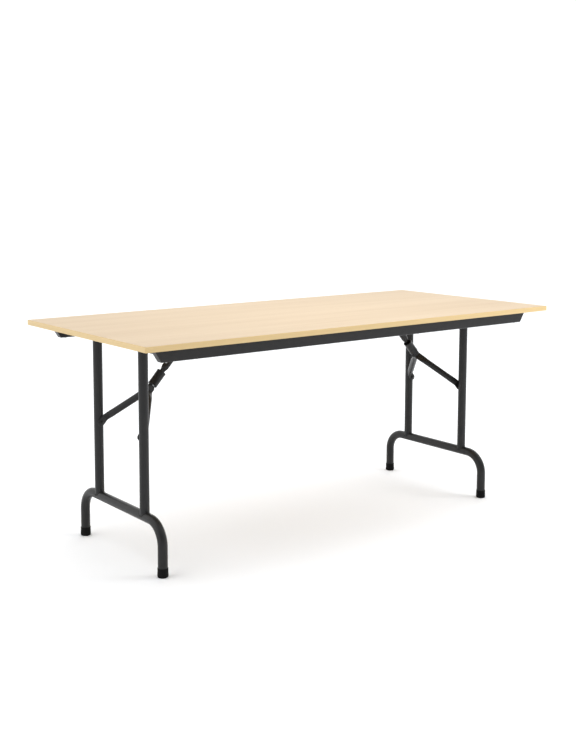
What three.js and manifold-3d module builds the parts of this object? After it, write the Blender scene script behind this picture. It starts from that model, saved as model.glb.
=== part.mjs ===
// Folding table: a laminated board on two side rails, with a folding leg frame and a
// locking knee brace at each end.
// Millimetres, +Z up, origin on the floor under the middle of the table top.
// +X runs along the length and +Y runs from the front edge to the back edge.
import * as THREE from 'three';
import { mergeVertices } from 'three/addons/utils/BufferGeometryUtils.js';
import Module from 'manifold-3d';

const wasm = await Module();
wasm.setup();

// ---- driving dimensions -------------------------------------------------------------
const TOP = { length: 1800, width: 800, height: 760, board: 18, lipping: 2 };
const FIT = 0.3; // gap kept between pieces that touch or turn on each other
const TUBE = { radius: 16, wall: 1.5 }; // legs, feet and hinge tubes
const RAIL = { height: 44, width: 25, wall: 2, inset: 55, topHalf: 840, bottomHalf: 812 };
const HINGE_X = { left: -762, right: 706 }; // the frames sit off centre, so that they clear folded
const HINGE_DROP = 22; // hinge axis below the underside of the board
const LEG_Y = 150; // leg centre lines, each side of the middle
const FOOT = { halfSpan: 258, barHeight: 169, bend: 72 };
const CAP = { height: 30, radius: 17.8, sole: 14, floor: 4 };
const BRACE = {
  armPivotDrop: 295, // arm pivot on the leg, below the hinge axis
  strutPivotReach: 268, // strut pivot under the board, inboard of the hinge axis
  armRadius: 12,
  strutRadius: 12.5,
  eye: 9, // half width of each flattened eye at the knee and at the bracket
  strutTongue: 6, // thickness of the strut's flattened ends
  armTongue: 3.5, // thickness of the arms' flattened ends
  armShoulder: 14, // half width of the arms' flat part below the sleeve
  armPad: 13, // half width of the flattened arm end at the leg
  pin: 4, // radius of the knee pin and of the bracket pin
  rivet: 3, // radius of the rivets at the legs
};
const PRESSING = { // where the brace tubes turn flat, measured along the brace
  strutFlat: 57, // the strut is flat from the knee to here
  strutRound: 76, // and round from here on
  bracketFlat: 14, // it is flat again this near the bracket pin
  bracketRound: 40,
  eyeEnd: 4, // the arms' eyes end here, inside the sleeve
  shoulder: 12, // and the arms have their full flat width here, below it
  part: 24, // the arms bend apart here
  legEnd: 22, // and bend along the leg this far before the leg pivot
};
const HALF_PRESSED = 0.6; // thickness of a tube half way to flat, over its diameter
const SLEEVE = { bore: 13.5, radius: 16.5, length: 56, pastKnee: 3, edge: 0.8 };
const BUSH = { wall: 2, flange: 4.5, flangeThickness: 2, length: 14 };
const RIVET_HEAD = { radius: 7.6, height: 4 };
const KNEE_PIN_HEAD = { radius: 5.4, height: 2.2 };
const BRACKET_PIN_HEAD = { radius: 6, height: 2.4 };
const BRACKET = { length: 72, width: 30, plate: 3, cheek: 3, cheekHalf: 20, nose: 12 };
const SCREW = { radius: 2, hole: 2.5, head: 4.5, headHeight: 2.6, depth: 13 };
const RAIL_SCREW_X = [-790, -270, 270, 790];

// ---- places worked out from them ----------------------------------------------------
const UNDERSIDE = TOP.height - TOP.board;
const HINGE_Z = UNDERSIDE - HINGE_DROP;
const RAIL_TOP = UNDERSIDE - FIT;
const RAIL_Y = TOP.width / 2 - RAIL.inset - RAIL.width / 2; // rail centre line
const RAIL_INNER = RAIL_Y - RAIL.width / 2;
const SPAN = Math.hypot(BRACE.strutPivotReach, BRACE.armPivotDrop);
const ARM = (SPAN - (BRACE.armPivotDrop - BRACE.strutPivotReach)) / 2; // knee to leg pivot
const STRUT = SPAN - ARM; // knee to bracket pivot
const SLOPE = Math.atan2(BRACE.armPivotDrop, BRACE.strutPivotReach);
const PAD_Y = LEG_Y - TUBE.radius - 1 - BRACE.armTongue / 2; // middle of the arm end at the leg
const EYE_Y = BRACE.strutTongue / 2 + FIT + BRACE.armTongue / 2; // middle of the arm end at the knee

// ---- materials ----------------------------------------------------------------------
const paint = (color, roughness, metalness) =>
  new THREE.MeshStandardMaterial({ color, roughness, metalness });
const MAPLE = () => paint(0xf2dcb4, 0.5, 0);
const LIPPING = () => paint(0xe2c58c, 0.5, 0);
const POWDER_COAT = () => paint(0x3c3e41, 0.55, 0.3);
const RUBBER = () => paint(0x1c1c1e, 0.8, 0);
const NYLON = () => paint(0x2a2a2c, 0.6, 0);
const ZINC = () => paint(0x9c9fa3, 0.35, 0.9);

// ---- helpers ------------------------------------------------------------------------
// A closed geometry as a solid that can be cut and joined.
function solid(geometry) {
  const bare = geometry.clone();
  bare.deleteAttribute('normal');
  bare.deleteAttribute('uv');
  const merged = mergeVertices(bare, 1e-4);
  return new wasm.Manifold(new wasm.Mesh({
    numProp: 3,
    vertProperties: new Float32Array(merged.attributes.position.array),
    triVerts: new Uint32Array(merged.index.array),
  }));
}

function geometryOf(body) {
  const data = body.getMesh();
  const geometry = new THREE.BufferGeometry();
  geometry.setAttribute('position', new THREE.BufferAttribute(new Float32Array(data.vertProperties), 3));
  geometry.setIndex(new THREE.BufferAttribute(new Uint32Array(data.triVerts), 1));
  const facets = geometry.toNonIndexed();
  facets.computeVertexNormals();
  return facets;
}

function piece(name, body, material) {
  const geometry = body.isBufferGeometry ? body : geometryOf(body);
  const mesh = new THREE.Mesh(geometry, material);
  mesh.name = name;
  return mesh;
}

// A round bar about one axis, from low to high along it, through the point at.
function bar(axis, radius, low, high, at = [0, 0, 0], sides = 20) {
  const geometry = new THREE.CylinderGeometry(radius, radius, high - low, sides);
  geometry.translate(0, (low + high) / 2, 0);
  if (axis === 'z') geometry.rotateX(Math.PI / 2);
  if (axis === 'x') geometry.rotateZ(-Math.PI / 2);
  geometry.translate(at[0], at[1], at[2]);
  return solid(geometry);
}

function block(width, depth, height, x, y, z) {
  const geometry = new THREE.BoxGeometry(width, depth, height);
  geometry.translate(x, y, z);
  return solid(geometry);
}

// A turned piece about the Z axis from [radius, z] points.
function turned(points, sides = 20) {
  const profile = points.map(([r, z]) => new THREE.Vector2(r, z));
  return new THREE.LatheGeometry(profile, sides).rotateX(Math.PI / 2);
}

// A bar whose round section is pressed flat where stations say so. Each station holds
// [along, across, halfWidth, halfThickness]: the place in the X-Y plane, the half width in Z
// and the half thickness across the path.
function pressedBar(stations, sides = 12) {
  const rows = stations.length - 1;
  const geometry = new THREE.CylinderGeometry(1, 1, rows, sides, rows);
  geometry.translate(0, rows / 2, 0);
  const place = geometry.attributes.position;
  for (let i = 0; i < place.count; i += 1) {
    const row = Math.round(place.getY(i));
    const [along, across, halfWidth, halfThickness] = stations[row];
    const [x0, y0] = stations[Math.max(row - 1, 0)];
    const [x1, y1] = stations[Math.min(row + 1, rows)];
    const length = Math.hypot(x1 - x0, y1 - y0);
    const offset = -place.getX(i) * halfThickness;
    place.setXYZ(i, along - (offset * (y1 - y0)) / length, across + (offset * (x1 - x0)) / length,
      place.getZ(i) * halfWidth);
  }
  return solid(geometry);
}

// Rounded end of a flattened bar: stations round a half circle of the given half width.
function roundEnd(centre, across, halfWidth, halfThickness, direction) {
  const steps = 3;
  const stations = [];
  for (let i = 0; i <= steps; i += 1) {
    const angle = (i / steps) * 0.46 * Math.PI;
    const reach = direction * halfWidth * Math.sin(angle);
    stations.push([centre + reach, across, halfWidth * Math.cos(angle), halfThickness]);
  }
  return stations;
}

// ---- table top ----------------------------------------------------------------------
// Particle board with a hole for each screw, and a lipping round its four edges.
function tableTop() {
  const group = new THREE.Group();
  const rim = 2 * (TOP.lipping + FIT);
  const middle = TOP.height - TOP.board / 2;
  let board = block(TOP.length - rim, TOP.width - rim, TOP.board, 0, 0, middle);
  for (const [x, y] of screwPlaces()) {
    const hole = bar('z', SCREW.hole, UNDERSIDE - 1, UNDERSIDE + SCREW.depth, [x, y, 0], 8);
    board = board.subtract(hole);
  }
  group.add(piece('table_top', board, MAPLE()));
  const long = block(TOP.length, TOP.lipping, TOP.board, 0, 0, 0);
  const short = block(TOP.lipping, TOP.width - rim, TOP.board, 0, 0, 0);
  for (const [name, body, x, y] of [
    ['edge_band_front', long, 0, -(TOP.width - TOP.lipping) / 2],
    ['edge_band_back', long, 0, (TOP.width - TOP.lipping) / 2],
    ['edge_band_left', short, -(TOP.length - TOP.lipping) / 2, 0],
    ['edge_band_right', short, (TOP.length - TOP.lipping) / 2, 0],
  ]) {
    const band = piece(name, body, LIPPING());
    band.position.set(x, y, middle);
    group.add(band);
  }
  return group;
}

// ---- side rails ---------------------------------------------------------------------
// Rectangular tube with both ends cut at a slant and closed by a plate, the long side
// against the board. The inner wall has a round hole at each hinge, and the screws pass
// through both flat walls.
function sideRail(name, side) {
  const group = new THREE.Group();
  const outline = (inset) => {
    const high = RAIL_TOP - inset;
    const low = RAIL_TOP - RAIL.height + inset;
    const slant = (RAIL.topHalf - RAIL.bottomHalf) / RAIL.height;
    const reach = (z) => RAIL.bottomHalf + slant * (z - RAIL_TOP + RAIL.height);
    return new THREE.Shape([
      new THREE.Vector2(inset - reach(low), low),
      new THREE.Vector2(reach(low) - inset, low),
      new THREE.Vector2(reach(high) - inset, high),
      new THREE.Vector2(inset - reach(high), high),
    ]);
  };
  const slab = (inset) => {
    const depth = RAIL.width - 2 * inset;
    const geometry = new THREE.ExtrudeGeometry(outline(inset), { depth, bevelEnabled: false });
    geometry.translate(0, 0, -depth / 2);
    geometry.rotateX(Math.PI / 2);
    geometry.translate(0, side * RAIL_Y, 0);
    return solid(geometry);
  };
  let rail = slab(0).subtract(slab(RAIL.wall));
  const bushHole = TUBE.radius + BUSH.wall + 2 * FIT;
  for (const x of Object.values(HINGE_X)) {
    const centre = [x, side * RAIL_Y, HINGE_Z];
    const reach = RAIL.width / 2 + 1;
    rail = rail.subtract(bar('y', bushHole, side > 0 ? -reach : 0, side > 0 ? 0 : reach, centre));
  }
  for (const x of RAIL_SCREW_X) {
    rail = rail.subtract(
      bar('z', SCREW.hole, RAIL_TOP - RAIL.height - 1, RAIL_TOP + 1, [x, side * RAIL_Y, 0], 8),
    );
  }
  group.add(piece(`side_rail_${name}`, rail, POWDER_COAT()));
  RAIL_SCREW_X.forEach((x, i) => {
    group.add(woodScrew(`rail_screw_${name}_${i + 1}`, x, side * RAIL_Y, RAIL_TOP - RAIL.height - FIT));
  });
  return group;
}

function screwPlaces() {
  const places = [];
  for (const x of RAIL_SCREW_X) {
    places.push([x, RAIL_Y], [x, -RAIL_Y]);
  }
  for (const end of ['left', 'right']) {
    for (const offset of bracketScrewOffsets()) {
      places.push([bracketX(end) + offset, 0]);
    }
  }
  return places;
}

// A pan-headed screw driven up into the board, its head seated at z.
function woodScrew(name, x, y, z) {
  const tip = UNDERSIDE + SCREW.depth - 1;
  const body = turned([
    [0, z - SCREW.headHeight],
    [SCREW.head * 0.6, z - SCREW.headHeight],
    [SCREW.head, z - SCREW.headHeight * 0.4],
    [SCREW.head, z],
    [SCREW.radius, z],
    [SCREW.radius, tip - 3],
    [0, tip],
  ], 8);
  const screw = piece(name, body, ZINC());
  screw.position.set(x, y, 0);
  return screw;
}

// Flanged nylon bush in the rail's inner wall, which the hinge tube turns in.
function pivotBush(name, x, side) {
  const bore = TUBE.radius + FIT;
  const body = turned([
    [bore, 0],
    [bore + BUSH.flange, 0],
    [bore + BUSH.flange, BUSH.flangeThickness],
    [bore + BUSH.wall, BUSH.flangeThickness],
    [bore + BUSH.wall, BUSH.length],
    [bore, BUSH.length],
    [bore, 0],
  ]);
  body.rotateX(side > 0 ? -Math.PI / 2 : Math.PI / 2);
  const bush = piece(name, body, NYLON());
  bush.position.set(x, side * (RAIL_INNER - BUSH.flangeThickness - FIT), HINGE_Z);
  return bush;
}

// ---- leg frame ----------------------------------------------------------------------
class TubeRoute extends THREE.Curve {
  constructor(path) {
    super();
    this.path = path;
  }

  getPoint(t) {
    const point = this.path.getPointAt(t);
    return new THREE.Vector3(0, point.x, point.y);
  }
}

// Foot: one tube bent to an upside-down U, its open ends down inside the rubber caps.
function footTube() {
  const low = CAP.floor + FIT;
  const inner = FOOT.halfSpan - FOOT.bend;
  const turn = FOOT.barHeight - FOOT.bend;
  const path = new THREE.Path();
  path.moveTo(-FOOT.halfSpan, low);
  path.lineTo(-FOOT.halfSpan, turn);
  path.absarc(-inner, turn, FOOT.bend, Math.PI, Math.PI / 2, true);
  path.lineTo(inner, FOOT.barHeight);
  path.absarc(inner, turn, FOOT.bend, Math.PI / 2, 0, true);
  path.lineTo(FOOT.halfSpan, low);
  const ring = new THREE.Shape();
  ring.absarc(0, 0, TUBE.radius, 0, 2 * Math.PI, false);
  const hole = new THREE.Path();
  hole.absarc(0, 0, TUBE.radius - TUBE.wall, 0, 2 * Math.PI, true);
  ring.holes.push(hole);
  const geometry = new THREE.ExtrudeGeometry(ring, {
    steps: 24, curveSegments: 8, bevelEnabled: false, extrudePath: new TubeRoute(path),
  });
  return solid(geometry);
}

// Leg: a straight tube with both ends cut to sit on the round tubes that it is welded to.
function legTube(y) {
  const cutter = (z) => bar('y', TUBE.radius + FIT, y - 30, y + 30, [0, 0, z], 24);
  return bar('z', TUBE.radius, FOOT.barHeight, HINGE_Z, [0, y, 0])
    .subtract(bar('z', TUBE.radius - TUBE.wall, 0, TOP.height, [0, y, 0]))
    .subtract(cutter(FOOT.barHeight))
    .subtract(cutter(HINGE_Z));
}

function footCap() {
  const bore = TUBE.radius + FIT;
  return turned([
    [0, 0],
    [CAP.sole, 0],
    [CAP.radius - 1, 1.6],
    [CAP.radius, 5],
    [CAP.radius, 12],
    [bore + 1, CAP.height],
    [bore, CAP.height],
    [bore, CAP.floor],
    [0, CAP.floor],
  ]);
}

// ---- knee brace ---------------------------------------------------------------------
// In the brace's own frame the knee pin is the origin, +X runs to the leg pivots and -X runs
// up to the bracket under the board.
function strut() {
  const flat = BRACE.strutTongue / 2;
  const round = BRACE.strutRadius;
  const half = (PRESSING.strutFlat + PRESSING.strutRound) / 2;
  const bracketHalf = (PRESSING.bracketFlat + PRESSING.bracketRound) / 2;
  const stations = [
    ...roundEnd(-STRUT, 0, BRACE.eye, flat, -1).reverse(),
    [-STRUT + PRESSING.bracketFlat, 0, BRACE.eye, flat],
    [-STRUT + bracketHalf, 0, round, round * HALF_PRESSED],
    [-STRUT + PRESSING.bracketRound, 0, round, round],
    [-PRESSING.strutRound, 0, round, round],
    [-half, 0, round, round * HALF_PRESSED],
    [-PRESSING.strutFlat, 0, BRACE.eye, flat],
    ...roundEnd(0, 0, BRACE.eye, flat, 1),
  ];
  const bore = bar('x', round - TUBE.wall, -STRUT + PRESSING.bracketRound, -PRESSING.strutRound - 2);
  const vent = bar('z', 2, -round - 1, 0, [-STRUT / 2, 0, 0], 8);
  const holes = [-STRUT, 0].map((x) => bar('y', BRACE.pin + FIT, -8, 8, [x, 0, 0], 12));
  return pressedBar(stations).subtract(bore).subtract(vent).subtract(holes[0]).subtract(holes[1]);
}

function braceArm(side) {
  const flat = BRACE.armTongue / 2;
  const round = BRACE.armRadius;
  const start = [PRESSING.part, EYE_Y];
  const end = [ARM - PRESSING.legEnd, PAD_Y];
  const along = (t) => [start[0] + t * (end[0] - start[0]), start[1] + t * (end[1] - start[1])];
  const stations = [
    ...roundEnd(0, EYE_Y, BRACE.eye, flat, -1).reverse(),
    [PRESSING.eyeEnd, EYE_Y, BRACE.eye, flat],
    [PRESSING.shoulder, EYE_Y, BRACE.armShoulder, flat],
    [...start, BRACE.armShoulder, flat],
    [...along(0.14), round + 1, round * HALF_PRESSED],
    [...along(0.27), round, round],
    [...along(0.78), round, round],
    [...along(0.9), round + 1, round * HALF_PRESSED],
    [...end, BRACE.armPad, flat],
    ...roundEnd(ARM, PAD_Y, BRACE.armPad, flat, 1),
  ];
  let arm = pressedBar(stations);
  const [x0, y0] = along(0.29);
  const [x1, y1] = along(0.76);
  const hollow = round - TUBE.wall;
  const bore = new THREE.CylinderGeometry(hollow, hollow, Math.hypot(x1 - x0, y1 - y0), 12);
  bore.rotateZ(-Math.atan2(x1 - x0, y1 - y0));
  bore.translate((x0 + x1) / 2, (y0 + y1) / 2, 0);
  arm = arm.subtract(solid(bore))
    .subtract(bar('z', 2, -round - 1, 0, [(x0 + x1) / 2, (y0 + y1) / 2, 0], 8))
    .subtract(bar('y', BRACE.pin + FIT, 0, 12, [0, 0, 0], 12))
    .subtract(bar('y', BRACE.rivet + FIT, PAD_Y - 6, PAD_Y + 6, [ARM, 0, 0], 12));
  return side > 0 ? arm : arm.mirror([0, 1, 0]);
}

// Headed pin along Y, with a head at each end outside the given half grip.
function headedPin(radius, grip, head) {
  const outer = grip + FIT + head.height;
  const body = turned([
    [0, -outer],
    [head.radius * 0.7, -outer],
    [head.radius, -outer + head.height * 0.5],
    [head.radius, -grip - FIT],
    [radius, -grip - FIT],
    [radius, grip + FIT],
    [head.radius, grip + FIT],
    [head.radius, outer - head.height * 0.5],
    [head.radius * 0.7, outer],
    [0, outer],
  ], 12);
  return body.rotateX(Math.PI / 2);
}

// Rivet at the leg: a domed head on the inner face of the arm's flattened end.
function armRivet(side) {
  const inner = PAD_Y - BRACE.armTongue / 2 - FIT;
  const body = turned([
    [0, inner - RIVET_HEAD.height],
    [RIVET_HEAD.radius * 0.6, inner - RIVET_HEAD.height * 0.85],
    [RIVET_HEAD.radius * 0.95, inner - RIVET_HEAD.height * 0.4],
    [RIVET_HEAD.radius, inner],
    [BRACE.rivet, inner],
    [BRACE.rivet, LEG_Y - TUBE.radius - 0.6],
    [0, LEG_Y - TUBE.radius - 0.6],
  ], 12);
  return body.rotateX(side > 0 ? -Math.PI / 2 : Math.PI / 2);
}

function lockSleeve() {
  const { bore, radius, length, pastKnee, edge } = SLEEVE;
  const body = turned([
    [bore, 0],
    [radius - edge, 0],
    [radius, edge],
    [radius, length - edge],
    [radius - edge, length],
    [bore, length],
    [bore, 0],
  ]);
  return body.rotateY(-Math.PI / 2).translate(pastKnee, 0, 0);
}

// ---- strut bracket ------------------------------------------------------------------
function bracketScrewOffsets() {
  return [-BRACKET.length / 2 + 10, BRACKET.length / 2 - 10];
}

function bracketX(end) {
  const inboard = end === 'left' ? 1 : -1;
  return HINGE_X[end] + inboard * BRACE.strutPivotReach;
}

// Folded plate screwed to the board, with two cheeks that hold the strut's upper pin.
function strutBracket() {
  const seat = UNDERSIDE - FIT - HINGE_Z; // top of the plate above the pin
  const plateLow = seat - BRACKET.plate;
  let body = block(BRACKET.length, BRACKET.width, BRACKET.plate, 0, 0, seat - BRACKET.plate / 2);
  const cheekShape = new THREE.Shape();
  cheekShape.moveTo(BRACKET.cheekHalf, plateLow + 1);
  cheekShape.lineTo(-BRACKET.cheekHalf, plateLow + 1);
  cheekShape.absarc(0, 0, BRACKET.nose, Math.PI * 1.05, Math.PI * 1.95, false);
  cheekShape.lineTo(BRACKET.cheekHalf, plateLow + 1);
  for (const side of [-1, 1]) {
    const cheek = new THREE.ExtrudeGeometry(cheekShape, {
      depth: BRACKET.cheek, bevelEnabled: false, curveSegments: 8,
    });
    cheek.rotateX(Math.PI / 2);
    const inner = BRACE.strutTongue / 2 + 2 * FIT;
    cheek.translate(0, side > 0 ? inner + BRACKET.cheek : -inner, 0);
    body = body.add(solid(cheek));
  }
  for (const x of bracketScrewOffsets()) {
    body = body.subtract(bar('z', SCREW.hole, plateLow - 1, seat + 1, [x, 0, 0], 8));
  }
  return body.subtract(bar('y', BRACE.pin + FIT, -12, 12, [0, 0, 0], 12));
}

// ---- one end of the table -----------------------------------------------------------
// Built with the hinge at the origin, floor at -HINGE_Z and +X inboard. The right end is
// the same set turned half round about Z, so its front and back change places.
function tableEnd(end) {
  const group = new THREE.Group();
  group.position.set(HINGE_X[end], 0, 0);
  group.rotation.z = end === 'left' ? 0 : Math.PI;
  const face = (side) => ((side > 0) === (end === 'left') ? 'back' : 'front');

  const reach = RAIL_INNER + 10;
  const hinge = bar('y', TUBE.radius, -reach, reach, [0, 0, HINGE_Z])
    .subtract(bar('y', TUBE.radius - TUBE.wall, -reach - 1, reach + 1, [0, 0, HINGE_Z]));
  group.add(piece(`hinge_tube_${end}`, hinge, POWDER_COAT()));
  group.add(piece(`foot_tube_${end}`, footTube(), POWDER_COAT()));
  for (const side of [-1, 1]) {
    const where = `${end}_${face(side)}`;
    group.add(piece(`leg_tube_${where}`, legTube(side * LEG_Y), POWDER_COAT()));
    const cap = piece(`foot_cap_${where}`, footCap(), RUBBER());
    cap.position.y = side * FOOT.halfSpan;
    group.add(cap);
    group.add(pivotBush(`pivot_bush_${where}`, 0, side));
  }

  const brace = new THREE.Group();
  brace.position.set(Math.cos(SLOPE) * ARM, 0, HINGE_Z - BRACE.armPivotDrop + Math.sin(SLOPE) * ARM);
  brace.rotation.y = Math.PI - SLOPE;
  group.add(brace);
  brace.add(piece(`brace_strut_${end}`, strut(), POWDER_COAT()));
  brace.add(piece(`lock_sleeve_${end}`, lockSleeve(), POWDER_COAT()));
  const grip = EYE_Y + BRACE.armTongue / 2;
  brace.add(piece(`knee_pin_${end}`, headedPin(BRACE.pin, grip, KNEE_PIN_HEAD), ZINC()));
  for (const side of [-1, 1]) {
    const where = `${end}_${face(side)}`;
    brace.add(piece(`brace_arm_${where}`, braceArm(side), POWDER_COAT()));
    const rivet = piece(`arm_rivet_${where}`, armRivet(side), POWDER_COAT());
    rivet.position.x = ARM;
    brace.add(rivet);
  }

  const bracket = piece(`strut_bracket_${end}`, strutBracket(), POWDER_COAT());
  bracket.position.set(BRACE.strutPivotReach, 0, HINGE_Z);
  group.add(bracket);
  const cheekGrip = BRACE.strutTongue / 2 + 2 * FIT + BRACKET.cheek;
  const pin = piece(`bracket_pin_${end}`, headedPin(BRACE.pin, cheekGrip, BRACKET_PIN_HEAD), ZINC());
  pin.position.set(BRACE.strutPivotReach, 0, HINGE_Z);
  group.add(pin);
  return group;
}

// ---- assembly -----------------------------------------------------------------------
const table = new THREE.Group();
table.add(tableTop(), sideRail('front', -1), sideRail('back', 1));
for (const end of ['left', 'right']) {
  table.add(tableEnd(end));
  bracketScrewOffsets().forEach((offset, i) => {
    const seat = UNDERSIDE - FIT - BRACKET.plate - FIT;
    table.add(woodScrew(`bracket_screw_${end}_${i + 1}`, bracketX(end) + offset, 0, seat));
  });
}

export default table;
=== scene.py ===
"""Folding table: laminated board, side rails, folding leg frames and locking knee braces."""
import math

import bmesh
import bpy
import numpy as np
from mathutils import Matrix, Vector


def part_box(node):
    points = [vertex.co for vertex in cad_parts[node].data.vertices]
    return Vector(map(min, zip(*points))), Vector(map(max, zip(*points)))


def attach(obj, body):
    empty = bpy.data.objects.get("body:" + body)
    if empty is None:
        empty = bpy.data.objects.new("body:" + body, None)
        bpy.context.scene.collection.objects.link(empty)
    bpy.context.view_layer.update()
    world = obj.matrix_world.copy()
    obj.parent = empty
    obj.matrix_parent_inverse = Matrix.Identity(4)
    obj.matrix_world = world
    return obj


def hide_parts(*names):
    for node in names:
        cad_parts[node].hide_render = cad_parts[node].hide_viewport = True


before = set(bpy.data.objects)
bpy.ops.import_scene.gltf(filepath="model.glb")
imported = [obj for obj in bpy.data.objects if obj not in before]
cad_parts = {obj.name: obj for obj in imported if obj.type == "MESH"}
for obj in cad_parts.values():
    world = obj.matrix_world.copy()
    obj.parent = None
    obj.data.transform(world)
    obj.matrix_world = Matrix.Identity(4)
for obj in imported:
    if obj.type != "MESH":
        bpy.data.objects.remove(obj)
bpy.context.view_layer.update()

# ---- Studio -------------------------------------------------------------------------
# A seamless pale floor and backdrop. The sky lights the table less from the front, soft
# light comes from above, and broad panels hang over the middle of the table and stand low
# to its front right. The camera stands off the front left corner, at chest height.
CAMERA_AT = (-2.494, -3.089, 1.231)
CAMERA_TURN = math.radians(-36.63)
CAMERA_DOWN = math.radians(6.16)
CAMERA_LENS = 53.4
CAMERA_SHIFT = (0.041, -0.089)
BACK_SKY = 1.30
FRONT_SKY = 0.40
TOWARDS_BACK = (0.45, 0.89, 0.0)
FLOOR_REACH = 30.0
FLOOR_PAINT = (0.94, 0.955, 0.975)
camera_data = bpy.data.cameras.new("camera")
camera_data.sensor_width = 36.0
camera_data.lens = CAMERA_LENS
camera_data.shift_x, camera_data.shift_y = CAMERA_SHIFT
camera = bpy.data.objects.new("camera", camera_data)
bpy.context.collection.objects.link(camera)
camera.location = CAMERA_AT
camera.rotation_euler = (math.pi / 2 - CAMERA_DOWN, 0.0, CAMERA_TURN)
bpy.context.scene.camera = camera
bpy.context.scene.view_settings.view_transform = "Standard"

world = bpy.data.worlds.new("studio")
bpy.context.scene.world = world
world.use_nodes = True
sky = world.node_tree
heading = sky.nodes.new("ShaderNodeTexCoord")
towards_back = sky.nodes.new("ShaderNodeVectorMath")
towards_back.operation = "DOT_PRODUCT"
towards_back.inputs[1].default_value = TOWARDS_BACK
brightness = sky.nodes.new("ShaderNodeMapRange")
brightness.interpolation_type = "SMOOTHSTEP"
sky_range = {"From Min": -0.75, "From Max": 0.25, "To Min": FRONT_SKY, "To Max": BACK_SKY}
for key, value in sky_range.items():
    brightness.inputs[key].default_value = value
sky.links.new(heading.outputs["Generated"], towards_back.inputs[0])
sky.links.new(towards_back.outputs["Value"], brightness.inputs["Value"])
ray = sky.nodes.new("ShaderNodeLightPath")
backdrop = sky.nodes.new("ShaderNodeMix")
backdrop.inputs["B"].default_value = BACK_SKY
sky.links.new(ray.outputs["Is Camera Ray"], backdrop.inputs["Factor"])
sky.links.new(brightness.outputs["Result"], backdrop.inputs["A"])
sky.links.new(backdrop.outputs["Result"], sky.nodes["Background"].inputs["Strength"])
sky.nodes["Background"].inputs["Color"].default_value = (1.0, 1.0, 1.0, 1.0)


def soft_lamp(name, kind, place, aim, strength, breadth):
    """A lamp at place facing aim. Its breadth is the side of a square panel in metres, or for
    light from far away the angle in degrees that it fills in the sky. Panels stay out of
    reflections, so that they leave no glare on the board."""
    data = bpy.data.lights.new(name, kind)
    data.energy = strength
    if kind == "SUN":
        data.angle = math.radians(breadth)
    else:
        data.size = breadth
    lamp = bpy.data.objects.new(name, data)
    bpy.context.collection.objects.link(lamp)
    lamp.location = place
    lamp.rotation_euler = (Vector(aim) - Vector(place)).to_track_quat("-Z", "Y").to_euler()
    lamp.visible_glossy = kind == "SUN"


soft_lamp("overhead", "SUN", (0.6, -0.4, 4.0), (0.0, 0.0, 0.0), 0.72, 100.0)
soft_lamp("left_side", "SUN", (-4.0, 0.5, 2.2), (0.0, 0.0, 0.0), 0.6, 60.0)
soft_lamp("top_panel", "AREA", (0.05, -0.1, 1.95), (0.05, -0.1, 0.76), 6.0, 0.9)
soft_lamp("right_panel", "AREA", (2.2, -2.0, 1.4), (0.7, 0.0, 0.6), 30.0, 1.2)

floor_mesh = bpy.data.meshes.new("floor")
floor_mesh.from_pydata(
    [(sx * FLOOR_REACH, sy * FLOOR_REACH, 0.0) for sx, sy in ((-1, -1), (1, -1), (1, 1), (-1, 1))],
    [], [(0, 1, 2, 3)])
floor = bpy.data.objects.new("floor", floor_mesh)
bpy.context.collection.objects.link(floor)


def finish_material(name, roughness, **sockets):
    """A material with a Principled shader, its fixed values set on the shader's own sockets."""
    made = bpy.data.materials.new(name)
    made.use_nodes = True
    shader = made.node_tree.nodes["Principled BSDF"]
    shader.inputs["Roughness"].default_value = roughness
    for socket, value in sockets.items():
        shader.inputs[socket.replace("_", " ")].default_value = value
    return made, made.node_tree, shader


floor_paint, _, floor_shader = finish_material("floor_paint", 0.9)
floor_shader.inputs["Base Color"].default_value = (*FLOOR_PAINT, 1.0)
floor.data.materials.append(floor_paint)

# ---- Board --------------------------------------------------------------------------
# Particle board, 18 mm thick, faced above and below with melamine printed as pale maple.
# The faces run straight into the lipping, with a hairline joint.
LAMINATE_PALE = (0.545, 0.42, 0.272)
LAMINATE_DEEP = (0.455, 0.328, 0.19)
BAND_JOINT = 0.00025
BOARD_EDGE = 0.0002


def shell(name, *grids, sharp=32.0):
    """One closed mesh from grids of points, each shaped (rows, columns, 3). Four neighbours
    make a face, and points in the same place are joined, which closes seams and poles."""
    corners, faces, base = [], [], 0
    for grid in grids:
        rows, columns = grid.shape[:2]
        first = (np.arange(rows - 1)[:, None] * columns + np.arange(columns - 1)).ravel() + base
        faces.append(np.stack([first, first + 1, first + columns + 1, first + columns], axis=1))
        corners.append(grid.reshape(-1, 3))
        base += rows * columns
    mesh = bpy.data.meshes.new(name)
    mesh.from_pydata(np.concatenate(corners).tolist(), [], np.concatenate(faces).tolist())
    form = bmesh.new()
    form.from_mesh(mesh)
    bmesh.ops.remove_doubles(form, verts=form.verts, dist=2e-6)
    bmesh.ops.dissolve_degenerate(form, dist=1e-6, edges=form.edges)
    bmesh.ops.recalc_face_normals(form, faces=form.faces)
    form.to_mesh(mesh)
    form.free()
    mesh.shade_smooth()
    mesh.set_sharp_from_angle(angle=math.radians(sharp))
    return mesh


def piece(name, mesh, material, body, slot, *nodes, flat_sided=False):
    """Puts a mesh in the scene on its body, in place of the CAD nodes it stands for. A piece
    with broad flat sides has its shading follow them, so that only its edges look round."""
    made = bpy.data.objects.new(name, mesh)
    bpy.context.collection.objects.link(made)
    if flat_sided:
        even = made.modifiers.new("flat_sides", "WEIGHTED_NORMAL")
        even.weight = 100
        even.keep_sharp = True
    mesh.materials.append(material)
    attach(made, body)
    if nodes:
        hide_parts(*nodes)


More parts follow.
